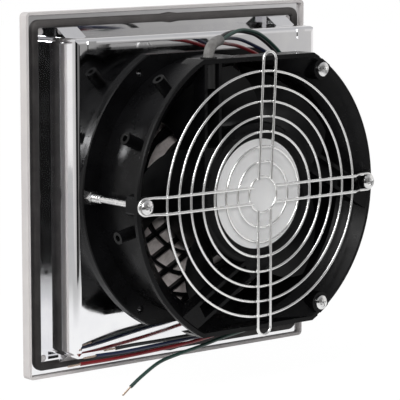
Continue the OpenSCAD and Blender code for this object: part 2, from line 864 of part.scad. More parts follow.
module guard_rings() {
    color("silver")
        on_axis()
            for (i = [0:guard_rings_n - 1])
                turned() translate([guard_d / 2 - i * guard_pitch, ring_y]) circle(d = ring_wire);
}

// The round end of a hairpin leg, at a distance from the axis
module hairpin_end(reach, y) {
    translate([reach, y, 0])
        rotate([-90, 0, 0])
            rotate([0, 0, -90])
                rotate_extrude(angle = 180) translate([leg_gap / 2, 0]) circle(d = leg_wire);
}

// A free leg along +X: two wires from the inner ring and the round end
module free_leg() {
    bend = leg_reach - (leg_gap + leg_wire) / 2;
    hairpin_end(bend, leg_y);
    for (side = [-1, 1])
        rod([inner_ring_r - ring_wire, leg_y, side * leg_gap / 2], [bend, leg_y, side * leg_gap / 2], leg_wire);
}

// A leg along +X whose end steps down to the rim and hooks round a bolt
module bolted_leg() {
    hairpin_end(bolt_r, eye_y);
    for (side = [-1, 1]) {
        z = side * leg_gap / 2;
        knee = [joggle_r0, leg_y, z];
        foot = [joggle_r1, eye_y, z];
        rod([inner_ring_r - ring_wire, leg_y, z], knee, leg_wire);
        rod(knee, foot, leg_wire);
        rod(foot, [bolt_r, eye_y, z], leg_wire);
        translate(knee) sphere(d = leg_wire + bend_swell);
        translate(foot) sphere(d = leg_wire + bend_swell);
    }
}

module guard_legs() {
    color("silver")
        on_axis() {
            for (a = [0, 180]) rotate([0, a, 0]) bolted_leg();
            rotate([0, -90 - leg_lean, 0]) free_leg();
            rotate([0, 90, 0]) free_leg();
        }
}

// A pan head bolt along Y with a cross recess, its head seated at y
module bolt(y) {
    dome = head_d * 0.75;
    difference() {
        union() {
            bar_y(bolt_d, bolt_end, y + bond);
            intersection() {
                bar_y(head_d, y, y + head_h);
                translate([0, y + head_h - dome, 0]) sphere(dome);
            }
        }
        for (a = [0, 90])
            rotate([0, a + 20, 0])
                translate([0, y + head_h, 0]) cube([head_d * 0.55, head_h, head_d * 0.13], center = true);
    }
}

module guard_bolts() {
    color("silver") on_axis() for (a = guard_bolts_at) at_bolt(a) bolt(guard_head_y);
}

module corner_bolts() {
    color("silver") on_axis() for (a = corner_bolts_at) at_bolt(a) bolt(rim_y + seat_gap);
}

module bolt_nuts() {
    color("silver")
        on_axis()
            for (a = concat(guard_bolts_at, corner_bolts_at))
                at_bolt(a)
                    difference() {
                        translate([0, nut_y, 0])
                            rotate([-90, 0, 0]) cylinder(d = nut_af / cos(30), h = nut_h, $fn = 6);
                        bar_y(bolt_d + seat_gap, nut_y - 1, nut_y + nut_h + 1);
                    }
}

// The bush that holds the sleeve in its strut and where it leaves the frame's upper flat
module cable_grommet() {
    z1 = fan_rise + fan_h / 2 + seat_gap;
    color("#2a2a2c")
        translate([strut_offset, grommet_y, 0])
            difference() {
                union() {
                    translate([0, 0, z1 - grommet_l]) cylinder(d = grommet_d, h = grommet_l + bond);
                    translate([0, 0, z1]) cylinder(d = grommet_d + 2 * grommet_collar, h = grommet_collar);
                }
                translate([0, 0, z1 - grommet_l - 1])
                    cylinder(d = sleeve_d + 2 * grommet_gap, h = grommet_l + grommet_collar + 2);
            }
}

function unit(v) = v / norm(v);

// The way along a path at one of its points
function heading(path, i) = unit(path[min(i + 1, len(path) - 1)] - path[max(i - 1, 0)]);

// One ring of points round a path's point
function path_ring(path, i, r) =
    let (
        t = heading(path, i),
        side = unit(cross(t, abs(t[1]) < 0.9 ? [0, 1, 0] : [1, 0, 0])),
        up = cross(side, t)
    )
    [for (k = [0:lead_sides - 1])
        path[i] + r * (cos(360 / lead_sides * k) * side + sin(360 / lead_sides * k) * up)];

// A round tube swept along a path
module lead(path, d) {
    n = len(path);
    m = lead_sides;
    points = [for (i = [0:n - 1]) each path_ring(path, i, d / 2)];
    sides = [for (i = [0:n - 2], k = [0:m - 1])
        [i * m + k, i * m + (k + 1) % m, (i + 1) * m + (k + 1) % m, (i + 1) * m + k]];
    ends = [[for (k = [m - 1:-1:0]) k], [for (k = [0:m - 1]) (n - 1) * m + k]];
    polyhedron(points, concat(sides, ends));
}

module cable_sleeve() { color("gray") lead(sleeve_path, sleeve_d); }

module lead_black_wire() { color("#1c1c1e") lead(lead_black, lead_d); }

module lead_green_wire() { color("darkslategray") lead(lead_green, lead_d); }

module lead_blue_wire() { color("midnightblue") lead(lead_blue, lead_d); }

module lead_red_wire() { color("firebrick") lead(lead_red, lead_d); }

// The bare wire at the end of each lead
module stripped_ends() {
    color("tan")
        for (tip = core_tips) {
            end = tip[0][len(tip[0]) - 1];
            rod(end + unit(tip[1] - end) * core_gap, tip[1], core_d);
        }
}

bezel();
housing();
gasket();
latch_upper_left();
latch_upper_right();
latch_lower_left();
latch_lower_right();
filter_mat();
intake_lattice();
front_cover();
cover_pins();
fan_frame();
fan_barrel();
fan_flange();
motor_spider();
motor_label();
stator_core();
stator_coils();
front_bearing();
rear_bearing();
preload_spring();
shaft();
shaft_clip();
rotor_cup();
impeller();
guard_rings();
guard_legs();
guard_bolts();
corner_bolts();
bolt_nuts();
cable_grommet();
cable_sleeve();
lead_black_wire();
lead_green_wire();
lead_blue_wire();
lead_red_wire();
stripped_ends();
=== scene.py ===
"""Dressed scene of a cabinet filter fan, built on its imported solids.

The rigid pieces keep their solids and get finishes of their own. The soft pieces, the leads, the blades and
the small repeated things, such as threads and weld spots, are modelled here.
"""

from __future__ import annotations

import json
import logging
import math
from dataclasses import dataclass, field
from enum import Enum
from typing import Any, ClassVar, Iterable, Sequence

import bmesh
import bpy
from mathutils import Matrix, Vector, noise

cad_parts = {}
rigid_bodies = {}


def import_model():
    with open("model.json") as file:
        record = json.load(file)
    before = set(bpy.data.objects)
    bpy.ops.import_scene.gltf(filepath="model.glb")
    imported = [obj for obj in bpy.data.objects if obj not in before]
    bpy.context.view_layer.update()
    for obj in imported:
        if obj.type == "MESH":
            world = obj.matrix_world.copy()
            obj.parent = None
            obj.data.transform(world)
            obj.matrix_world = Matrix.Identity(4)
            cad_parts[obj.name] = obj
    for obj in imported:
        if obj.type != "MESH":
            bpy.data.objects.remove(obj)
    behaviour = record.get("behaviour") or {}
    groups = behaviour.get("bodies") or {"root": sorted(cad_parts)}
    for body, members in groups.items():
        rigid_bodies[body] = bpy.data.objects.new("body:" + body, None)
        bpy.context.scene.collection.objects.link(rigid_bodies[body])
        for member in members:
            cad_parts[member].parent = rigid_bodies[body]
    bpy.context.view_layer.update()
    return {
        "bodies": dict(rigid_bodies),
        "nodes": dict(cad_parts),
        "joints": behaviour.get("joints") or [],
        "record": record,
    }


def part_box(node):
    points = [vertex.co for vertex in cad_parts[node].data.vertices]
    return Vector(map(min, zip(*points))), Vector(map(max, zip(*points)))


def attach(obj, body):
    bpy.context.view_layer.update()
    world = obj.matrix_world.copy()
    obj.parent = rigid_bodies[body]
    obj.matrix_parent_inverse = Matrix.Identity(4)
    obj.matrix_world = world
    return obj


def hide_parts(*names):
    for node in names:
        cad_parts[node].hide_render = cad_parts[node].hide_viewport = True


LOG = logging.getLogger("filter_fan")
MM = 0.001
FAN_RISE = 2.0 * MM

Point = tuple[float, float, float]
Colour = tuple[float, float, float]


class Body(Enum):
    """The rigid bodies that pieces ride on."""

    FIXED = "fixed_parts"
    ROTOR = "rotor"


class Value:
    """A shader socket that takes part in Python expressions."""

    def __init__(self, graph: Graph, socket: bpy.types.NodeSocket) -> None:
        """Wraps an output socket of a graph."""
        self.graph = graph
        self.socket = socket

    def maths(self, operation: str, other: Value | float = 0.0, swapped: bool = False) -> Value:
        """Adds a Math node on this value and another, which comes first where swapped."""
        pair = (other, self) if swapped else (self, other)
        return self.graph.node("ShaderNodeMath", {"operation": operation}, {0: pair[0], 1: pair[1]})

    def __add__(self, other: Value | float) -> Value:
        """Adds."""
        return self.maths("ADD", other)

    __radd__ = __add__

    def __sub__(self, other: Value | float) -> Value:
        """Subtracts."""
        return self.maths("SUBTRACT", other)

    def __rsub__(self, other: float) -> Value:
        """Subtracts from a number."""
        return self.maths("SUBTRACT", other, True)

    def __mul__(self, other: Value | float) -> Value:
        """Multiplies."""
        return self.maths("MULTIPLY", other)

    __rmul__ = __mul__

    def __truediv__(self, other: Value | float) -> Value:
        """Divides."""
        return self.maths("DIVIDE", other)

    def __rtruediv__(self, other: float) -> Value:
        """Divides a number by it."""
        return self.maths("DIVIDE", other, True)

    def __pow__(self, other: float) -> Value:
        """Raises to a power."""
        return self.maths("POWER", other)

    def __rpow__(self, other: float) -> Value:
        """Raises a number to it."""
        return self.maths("POWER", other, True)

    def smooth(self, low: float, high: float, to_low: float = 0.0, to_high: float = 1.0) -> Value:
        """Maps a range smoothly onto another.

        Args:
            low: Where the range starts.
            high: Where the range ends.
            to_low: The result at the start.
            to_high: The result at the end.

        Returns:
            The mapped value.
        """
        settings = {"interpolation_type": "SMOOTHSTEP"}
        inputs = {0: self, 1: low, 2: high, 3: to_low, 4: to_high}
        return self.graph.node("ShaderNodeMapRange", settings, inputs)


class Graph:
    """A node tree that is filled from Python."""

    def __init__(self, tree: bpy.types.NodeTree) -> None:
        """Wraps a node tree and empties it."""
        self.tree = tree
        tree.nodes.clear()

    def node(
        self,
        kind: str,
        settings: dict[str, Any] | None = None,
        inputs: dict[int | str, Any] | None = None,
        out: int | str = 0,
    ) -> Value:
        """Adds a node of any type.

        Args:
            kind: The node's type.
            settings: The node's own settings, set first; "stops" are a ramp's places and colours.
            inputs: Values or links for its sockets.
            out: The output socket that is returned.

        Returns:
            One output of the node.
        """
        made = self.tree.nodes.new(kind)
        for name, setting in (settings or {}).items():
            if name == "stops":
                self._stops(made, setting)
            else:
                setattr(made, name, setting)
        for name, value in (inputs or {}).items():
            if isinstance(value, Value):
                self.tree.links.new(value.socket, made.inputs[name])
            else:
                made.inputs[name].default_value = value
        return Value(self, made.outputs[out]) if len(made.outputs) else Value(self, made.inputs[0])

    @staticmethod
    def _stops(ramp: bpy.types.Node, stops: Sequence[tuple[float, Colour]]) -> None:
        """Sets a ramp's stops.

        Args:
            ramp: The ramp's node.
            stops: Each place with its colour.
        """
        elements = ramp.color_ramp.elements
        while len(elements) < len(stops):
            elements.new(1.0)
        for element, (place, colour) in zip(elements, stops):
            element.position = place
            element.color = (*colour, 1.0)

    def mix(self, factor: Value | float, first: Value | Colour, second: Value | Colour) -> Value:
        """Mixes two colours, from the first at a factor of 0 to the second at 1."""
        pair = [c if isinstance(c, Value) else (*c, 1.0) for c in (first, second)]
        return self.node("ShaderNodeMix", {"data_type": "RGBA"}, {0: factor, 6: pair[0], 7: pair[1]}, 2)

    def place(self) -> Value:
        """Returns the Object coordinates, in metres."""
        return self.node("ShaderNodeTexCoord", out="Object")

    def part(self, vector: Value, axis: int) -> Value:
        """Returns one coordinate of a vector."""
        return self.node("ShaderNodeSeparateXYZ", {}, {0: vector}, axis)

    def stretched(self, scale: Point, centre: Point = (0.0, 0.0, 0.0)) -> Value:
        """Returns Object coordinates that are scaled along each axis about a centre."""
        shift = tuple(-c * s for c, s in zip(centre, scale))
        return self.node("ShaderNodeMapping", {}, {"Vector": self.place(), "Location": shift, "Scale": scale})

    def noise(self, size: float, detail: float = 2.0, where: Value | None = None, seed: float = 0.0) -> Value:
        """Returns soft noise from 0 to 1, by its spots' size in metres, its finer layers and a seed."""
        inputs = {"Vector": where or self.place(), "W": seed, "Scale": 1.0 / size, "Detail": detail}
        return self.node("ShaderNodeTexNoise", {"noise_dimensions": "4D"}, inputs)

    def polar(self) -> tuple[Value, Value]:
        """Returns the radius from the fan's axis, in metres, and the angle round it."""
        where = self.stretched((1.0, 1.0, 1.0), (0.0, 0.0, FAN_RISE))
        x, z = self.part(where, 0), self.part(where, 2)
        return (x * x + z * z) ** 0.5, z.maths("ARCTAN2", x)


@dataclass(frozen=True)
class Finish:
    """A finish with mottled colour, uneven gloss and a fine grain."""

    name: str
    colour: Colour
    second: Colour
    rough: tuple[float, float] = (0.4, 0.5)
    metal: float = 0.0
    grain: float = 0.5 * MM
    depth: float = 0.01 * MM
    mottle: float = 12 * MM
    specular: float = 0.5
    sheen: float = 0.0

    TONE_RANGE: ClassVar[tuple[float, float]] = (0.35, 0.7)
    GLOSS_RANGE: ClassVar[tuple[float, float]] = (0.3, 0.7)

    def tone(self, graph: Graph) -> Value:
        """Returns where the second colour lies, from 0 to 1."""
        return graph.noise(self.mottle, 3.0).smooth(*self.TONE_RANGE)

    def height(self, graph: Graph) -> Value:
        """Returns the height of the surface's grain, from 0 to 1."""
        return graph.noise(self.grain, 2.0, seed=3.0)

    def gloss(self, graph: Graph) -> Value:
        """Returns the roughness over the surface."""
        return graph.noise(self.mottle * 0.6, 3.0, seed=7.0).smooth(*self.GLOSS_RANGE, *self.rough)

    def make(self) -> bpy.types.Material:
        """Builds the material.

        Returns:
            The material, named after the finish.
        """
        material = bpy.data.materials.new(self.name)
        material.use_nodes = True
        graph = Graph(material.node_tree)
        bump = graph.node("ShaderNodeBump", {}, {
            "Strength": 1.0, "Distance": self.depth, "Height": self.height(graph),
        })
        inputs: dict[int | str, Any] = {
            "Base Color": graph.mix(self.tone(graph), self.colour, self.second),
            "Roughness": self.gloss(graph),
            "Metallic": self.metal,
            "Specular IOR Level": self.specular,
            "Sheen Weight": self.sheen,
            "Normal": bump,
        }
        shader = graph.node("ShaderNodeBsdfPrincipled", {}, inputs)
        graph.node("ShaderNodeOutputMaterial", {}, {"Surface": shader})
        return material


@dataclass(frozen=True)
class MirrorCoat(Finish):
    """Bright metal on a moulding, with the slow waves that such a wall has."""

    wave: float = 30 * MM

    def height(self, graph: Graph) -> Value:
        """Returns slow waves."""
        return graph.noise(self.wave, 1.0, seed=2.0)


@dataclass(frozen=True)
class Foam(Finish):
    """Cellular rubber with open pores, and painted light that makes what lies high up lighter."""

    painted_light_from: float = 1.0
    painted_light_fade: float = 6 * MM
    painted_light_share: float = 0.75

    PORE_RANGE: ClassVar[tuple[float, float]] = (0.1, 0.5)

    def tone(self, graph: Graph) -> Value:
        """Returns the painted light above a height, which lightens the top, over the mottling."""
        height = graph.part(graph.place(), 2)
        # Painted light: above a height the colour blends towards the lighter second colour, standing in for
        # the light that falls on the top run.
        painted_light = height.smooth(self.painted_light_from, self.painted_light_from + self.painted_light_fade)
        return painted_light * self.painted_light_share + super().tone(graph) * (1 - self.painted_light_share)

    def height(self, graph: Graph) -> Value:
        """Returns pores between fine grains."""
        cells = graph.node("ShaderNodeTexVoronoi", {}, {"Vector": graph.place(), "Scale": 1.0 / self.grain})
        return cells.smooth(*self.PORE_RANGE) + graph.noise(self.grain * 4, 2.0) * 0.5


@dataclass(frozen=True)
class Brushed(Finish):
    """Metal with a straight grain along the fan's axis."""

    stretch: Point = (1.0, 0.02, 1.0)

    def height(self, graph: Graph) -> Value:
        """Returns fine lines along the grain."""
        return graph.noise(self.grain, 2.0, graph.stretched(self.stretch), 4.0)

    def gloss(self, graph: Graph) -> Value:
        """Returns streaks of roughness."""
        return self.height(graph).smooth(*self.GLOSS_RANGE, *self.rough)


@dataclass(frozen=True)
class SpinBrushed(Finish):
    """Foil that was brushed round the fan's axis."""

    def height(self, graph: Graph) -> Value:
        """Returns fine rings that break up round the axis."""
        radius, angle = graph.polar()
        where = graph.node("ShaderNodeCombineXYZ", {}, {0: radius / self.grain, 1: angle * 1.5, 2: 0.0})
        return graph.node("ShaderNodeTexNoise", {}, {"Vector": where, "Scale": 1.0, "Detail": 2.0})

    def gloss(self, graph: Graph) -> Value:
        """Returns rings of roughness."""
        return self.height(graph).smooth(*self.GLOSS_RANGE, *self.rough)


@dataclass(frozen=True)
class Stacked(Finish):
    """Sheets in a stack, or turns of a winding, along the fan's axis."""

    # The distance between two of the texture's bands at a scale of 1.
    BAND: ClassVar[float] = 0.314

    def height(self, graph: Graph) -> Value:
        """Returns one ridge for each sheet."""
        settings = {"wave_type": "BANDS", "bands_direction": "Y"}
        scale = self.BAND / self.grain
        inputs = {"Vector": graph.place(), "Scale": scale, "Distortion": 0.4, "Detail": 1.0}
        return graph.node("ShaderNodeTexWave", settings, inputs, 1)


@dataclass(frozen=True)
class Braided(Finish):
    """A woven sleeve, on the tube's own UV map in metres."""

    def height(self, graph: Graph) -> Value:
        """Returns yarns that cross over and under."""
        uv = graph.node("ShaderNodeUVMap", {"uv_map": "UVMap"})
        u, v = graph.part(uv, 0), graph.part(uv, 1)
        step = 2 * math.pi / self.grain
        left = ((u + v) * step).maths("SINE")
        right = ((u - v) * step).maths("SINE")
        return (left * right) * 0.5 + 0.5


@dataclass(frozen=True)
class Fleece(Finish):
    """Matted fibres."""

    def height(self, graph: Graph) -> Value:
        """Returns strands that run every way."""
        along = graph.noise(self.grain, 3.0, graph.stretched((0.25, 1.0, 1.0)), 1.0)
        across = graph.noise(self.grain, 3.0, graph.stretched((1.0, 1.0, 0.25)), 5.0)
        return along.maths("MAXIMUM", across)


class Workshop:
    """The finishes, each made once."""

    FINISHES: ClassVar[tuple[Finish, ...]] = (
        Finish("bezel_paint", (0.60, 0.575, 0.565), (0.56, 0.535, 0.53), (0.42, 0.55),
               grain=0.35 * MM, depth=0.02 * MM),
        MirrorCoat("mirror_coat", (0.90, 0.90, 0.91), (0.86, 0.86, 0.88), (0.03, 0.09), 1.0, depth=0.05 * MM),
        # The gasket's lighter second colour is also painted light on the strip's top run, from 90 mm up.
        Foam("gasket_foam", (0.013, 0.0115, 0.0115), (0.085, 0.079, 0.077), (0.5, 0.7),
             grain=0.5 * MM, depth=0.1 * MM, specular=0.3, painted_light_from=90 * MM),
        Fleece("filter_fleece", (0.88, 0.81, 0.79), (0.70, 0.635, 0.615), (0.85, 0.95),
               grain=0.7 * MM, depth=0.3 * MM, mottle=3 * MM, specular=0.1, sheen=0.3),
        Finish("black_moulding", (0.004, 0.004, 0.0045), (0.006, 0.006, 0.0065), (0.34, 0.46),
               grain=0.4 * MM, depth=0.012 * MM, specular=0.22),
        Finish("black_casting", (0.0025, 0.0025, 0.0028), (0.004, 0.004, 0.0045), (0.24, 0.36),
               grain=0.7 * MM, depth=0.012 * MM, specular=0.14),
        SpinBrushed("label_foil", (0.86, 0.86, 0.86), (0.79, 0.79, 0.795), (0.36, 0.48), 0.25,
                    grain=0.12 * MM, depth=0.006 * MM, mottle=25 * MM),
        Stacked("stator_steel", (0.33, 0.34, 0.36), (0.25, 0.25, 0.27), (0.35, 0.5), 1.0,
                grain=0.5 * MM, depth=0.1 * MM),
        Stacked("coil_copper", (0.55, 0.24, 0.10), (0.42, 0.16, 0.06), (0.3, 0.4), 0.9,
                grain=0.8 * MM, depth=0.3 * MM),
        Brushed("bearing_steel", (0.62, 0.62, 0.64), (0.55, 0.55, 0.57), (0.18, 0.3), 1.0,
                grain=0.2 * MM, depth=0.004 * MM),
        Finish("rotor_steel", (0.012, 0.012, 0.013), (0.02, 0.02, 0.02), (0.35, 0.5), depth=0.02 * MM),
        Finish("guard_chrome", (0.88, 0.88, 0.87), (0.83, 0.83, 0.83), (0.22, 0.28), 1.0,
               grain=2.0 * MM, depth=0.002 * MM),
        Finish("bolt_zinc", (0.82, 0.82, 0.81), (0.66, 0.66, 0.67), (0.12, 0.28), 1.0,
               grain=0.6 * MM, depth=0.012 * MM, mottle=2 * MM),
        Foam("grommet_rubber", (0.008, 0.008, 0.008), (0.024, 0.024, 0.024), (0.5, 0.65),
             grain=0.3 * MM, specular=0.25),
        Braided("sleeve_grey", (0.20, 0.195, 0.19), (0.13, 0.125, 0.12), (0.6, 0.75),
                grain=1.5 * MM, depth=0.2 * MM, mottle=3 * MM),
        Finish("lead_black", (0.010, 0.010, 0.011), (0.016, 0.016, 0.017), (0.32, 0.45)),
        Finish("lead_green", (0.018, 0.050, 0.040), (0.012, 0.034, 0.028), (0.32, 0.45)),
        Finish("lead_blue", (0.010, 0.016, 0.050), (0.008, 0.012, 0.034), (0.32, 0.45)),
        Finish("lead_red", (0.20, 0.010, 0.014), (0.15, 0.007, 0.010), (0.32, 0.45)),
        Finish("bare_wire", (0.60, 0.50, 0.42), (0.48, 0.36, 0.28), (0.25, 0.4), 1.0,
               grain=0.3 * MM, mottle=1 * MM),
    )

    def __init__(self) -> None:
        """Starts with nothing made."""
        self._made: dict[str, bpy.types.Material] = {}

    def finish(self, slot: str) -> bpy.types.Material:
        """Returns a slot's material.

        Args:
            slot: The record's slot, which is the finish's name.

        Returns:
            The material.
        """
        if slot not in self._made:
            self._made[slot] = next(f for f in self.FINISHES if f.name == slot).make()
        return self._made[slot]

    def dress(self, piece: bpy.types.Object, slot: str, body: Body, *nodes: str) -> None:
        """Finishes a new piece and puts it on its body.

        Args:
            piece: The piece.
            slot: Its finish.
            body: The body that it rides on.
            *nodes: The solids that it stands for.
        """
        piece.data.materials.clear()
        piece.data.materials.append(self.finish(slot))
        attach(piece, body.value)
        if nodes:
            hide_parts(*nodes)
        LOG.info("%s: %d faces", piece.name, len(piece.data.polygons))


class Meshes:
    """Ways to make meshes."""

    @staticmethod
    def placed(name: str, data: bpy.types.ID) -> bpy.types.Object:
        """Puts data into the scene as an object.

        Args:
            name: The object's name.
            data: Its mesh, lamp or camera.

        Returns:
            The object.
        """
        made = bpy.data.objects.new(name, data)
        bpy.context.scene.collection.objects.link(made)
        return made

    @staticmethod
    def piece(
        name: str, points: Iterable[Sequence[float]], faces: Iterable[Sequence[int]] = ()
    ) -> bpy.types.Object:
        """Makes a smooth piece from points and faces.

        Args:
            name: The piece's name.
            points: Its points, in metres.
            faces: Its faces, or none where it only carries places.

        Returns:
            The piece, linked to the scene.
        """
        mesh = bpy.data.meshes.new(name)
        mesh.from_pydata([tuple(p) for p in points], [], [tuple(f) for f in faces])
        Meshes.tidy(mesh)
        return Meshes.placed(name, mesh)

    @staticmethod
    def skin(rings: int, across: int, base: int = 0, closed: bool = False) -> list[tuple[int, ...]]:
        """Joins rings of points that follow each other.

        Args:
            rings: How many rings there are.
            across: How many points a ring has.
            base: The number of the first point.
            closed: Whether the last ring joins the first.

        Returns:
            The faces between the rings.
        """
        faces: list[tuple[int, ...]] = []
        for i in range(rings if closed else rings - 1):
            low, high = base + i * across, base + (i + 1) % rings * across
            for k in range(across):
                n = (k + 1) % across
                faces.append((low + k, low + n, high + n, high + k))
        return faces

    @staticmethod
    def tidy(mesh: bpy.types.Mesh, sharp: float = 35.0) -> None:
        """Merges doubles, turns faces outwards and shades smooth up to an angle.

        Args:
            mesh: The mesh.
            sharp: The angle past which an edge stays sharp, in degrees.
        """
        work = bmesh.new()
        work.from_mesh(mesh)
        bmesh.ops.remove_doubles(work, verts=work.verts, dist=1e-7)
        bmesh.ops.recalc_face_normals(work, faces=work.faces)
        work.to_mesh(mesh)
        work.free()
        mesh.shade_smooth()
        mesh.set_sharp_from_angle(angle=math.radians(sharp))

    @staticmethod
    def flowing(route: Sequence[Point], steps: int = 6) -> list[Vector]:
        """Runs a smooth line through a route's points.

        Args:
            route: The points, in millimetres.
            steps: How many pieces lie between two of them.

        Returns:
            The line's points, in metres.
        """
        p = [Vector(q) * MM for q in route]
        p = [2 * p[0] - p[1], *p, 2 * p[-1] - p[-2]]
        line: list[Vector] = []
        for a, b, c, d in zip(p, p[1:], p[2:], p[3:]):
            for k in range(steps):
                t = k / steps
                bend = 2 * a - 5 * b + 4 * c - d
                turn = 3 * b - a - 3 * c + d
                line.append(0.5 * (2 * b + (c - a) * t + bend * t**2 + turn * t**3))
        return [*line, p[-2]]

    @staticmethod
    def length(line: Sequence[Vector]) -> float:
        """Returns a line's length, in metres."""
        return sum((b - a).length for a, b in zip(line, line[1:]))

    @staticmethod
    def tube(name: str, line: Sequence[Vector], radius: float, sides: int = 16) -> bpy.types.Object:
        """Sweeps a round tube along a line, with a UV map in metres.

        Args:
            name: The piece's name.
            line: The centre line, in metres.
            radius: The tube's radius.
            sides: How many sides it has.

        Returns:
            The tube.
        """
        work = bmesh.new()
        layer = work.loops.layers.uv.new("UVMap")
        rings: list[list[bmesh.types.BMVert]] = []
        places: list[float] = []
        side = (line[1] - line[0]).orthogonal()
        for i, point in enumerate(line):
            way = (line[min(i + 1, len(line) - 1)] - line[max(i - 1, 0)]).normalized()
            side = (side - way * side.dot(way)).normalized()
            up = way.cross(side)
            angles = (2 * math.pi * k / sides for k in range(sides))
            spots = (point + radius * (math.cos(a) * side + math.sin(a) * up) for a in angles)
            rings.append([work.verts.new(spot) for spot in spots])
            places.append(places[-1] + (point - line[i - 1]).length if places else 0.0)
        arc = 2 * math.pi * radius / sides
        for i, (low, high) in enumerate(zip(rings, rings[1:])):
            for k in range(sides):
                n = (k + 1) % sides
                face = work.faces.new((low[k], low[n], high[n], high[k]))
                corners = ((k, i), (k + 1, i), (k + 1, i + 1), (k, i + 1))
                for loop, (u, v) in zip(face.loops, corners):
                    loop[layer].uv = (u * arc, places[v])
        work.faces.new(list(reversed(rings[0])))
        work.faces.new(rings[-1])
        mesh = bpy.data.meshes.new(name)
        work.to_mesh(mesh)
        work.free()
        Meshes.tidy(mesh, 60.0)
        return Meshes.placed(name, mesh)


class Growth(Graph):
    """A Geometry Nodes tree that repeats a shape, turned into a plain mesh at the end."""

    def __init__(self, name: str, sizes: dict[str, float]) -> None:
        """Starts a tree with named inputs.

        Args:
            name: The tree's name.
            sizes: Its inputs with their values.
        """
        super().__init__(bpy.data.node_groups.new(name, "GeometryNodeTree"))
        self.sizes = sizes
        face = self.tree.interface
        face.new_socket("Geometry", in_out="INPUT", socket_type="NodeSocketGeometry")
        face.new_socket("Geometry", in_out="OUTPUT", socket_type="NodeSocketGeometry")
        self.ids = {
            key: face.new_socket(key, in_out="INPUT", socket_type="NodeSocketFloat").identifier
            for key in sizes
        }
        self.inlet = self.tree.nodes.new("NodeGroupInput")

    def size(self, key: str) -> Value:
        """Returns a named input."""
        return Value(self, self.inlet.outputs[key])

    def start(self) -> Value:
        """Returns the geometry that comes in."""
        return Value(self, self.inlet.outputs["Geometry"])

    def realise(self, base: bpy.types.Object, shape: Value, material: bpy.types.Material) -> bpy.types.Object:
        """Ends the tree and turns its result into a plain mesh on the base object.

        Args:
            base: The object that carries the points or faces.
            shape: The repeated geometry.
            material: The material of the result.

        Returns:
            The base object with its new mesh.
        """
        real = self.node("GeometryNodeRealizeInstances", {}, {0: shape})
        painted = self.node("GeometryNodeSetMaterial", {}, {"Geometry": real, "Material": material})
        outlet = self.tree.nodes.new("NodeGroupOutput")
        self.tree.links.new(painted.socket, outlet.inputs[0])
        modifier = base.modifiers.new(self.tree.name, "NODES")
        modifier.node_group = self.tree
        for key, value in self.sizes.items():
            modifier[self.ids[key]] = value
        ready = base.evaluated_get(bpy.context.evaluated_depsgraph_get())
        mesh = bpy.data.meshes.new_from_object(ready)
        base.modifiers.clear()
        base.data = mesh
        Meshes.tidy(mesh, 50.0)
        return base


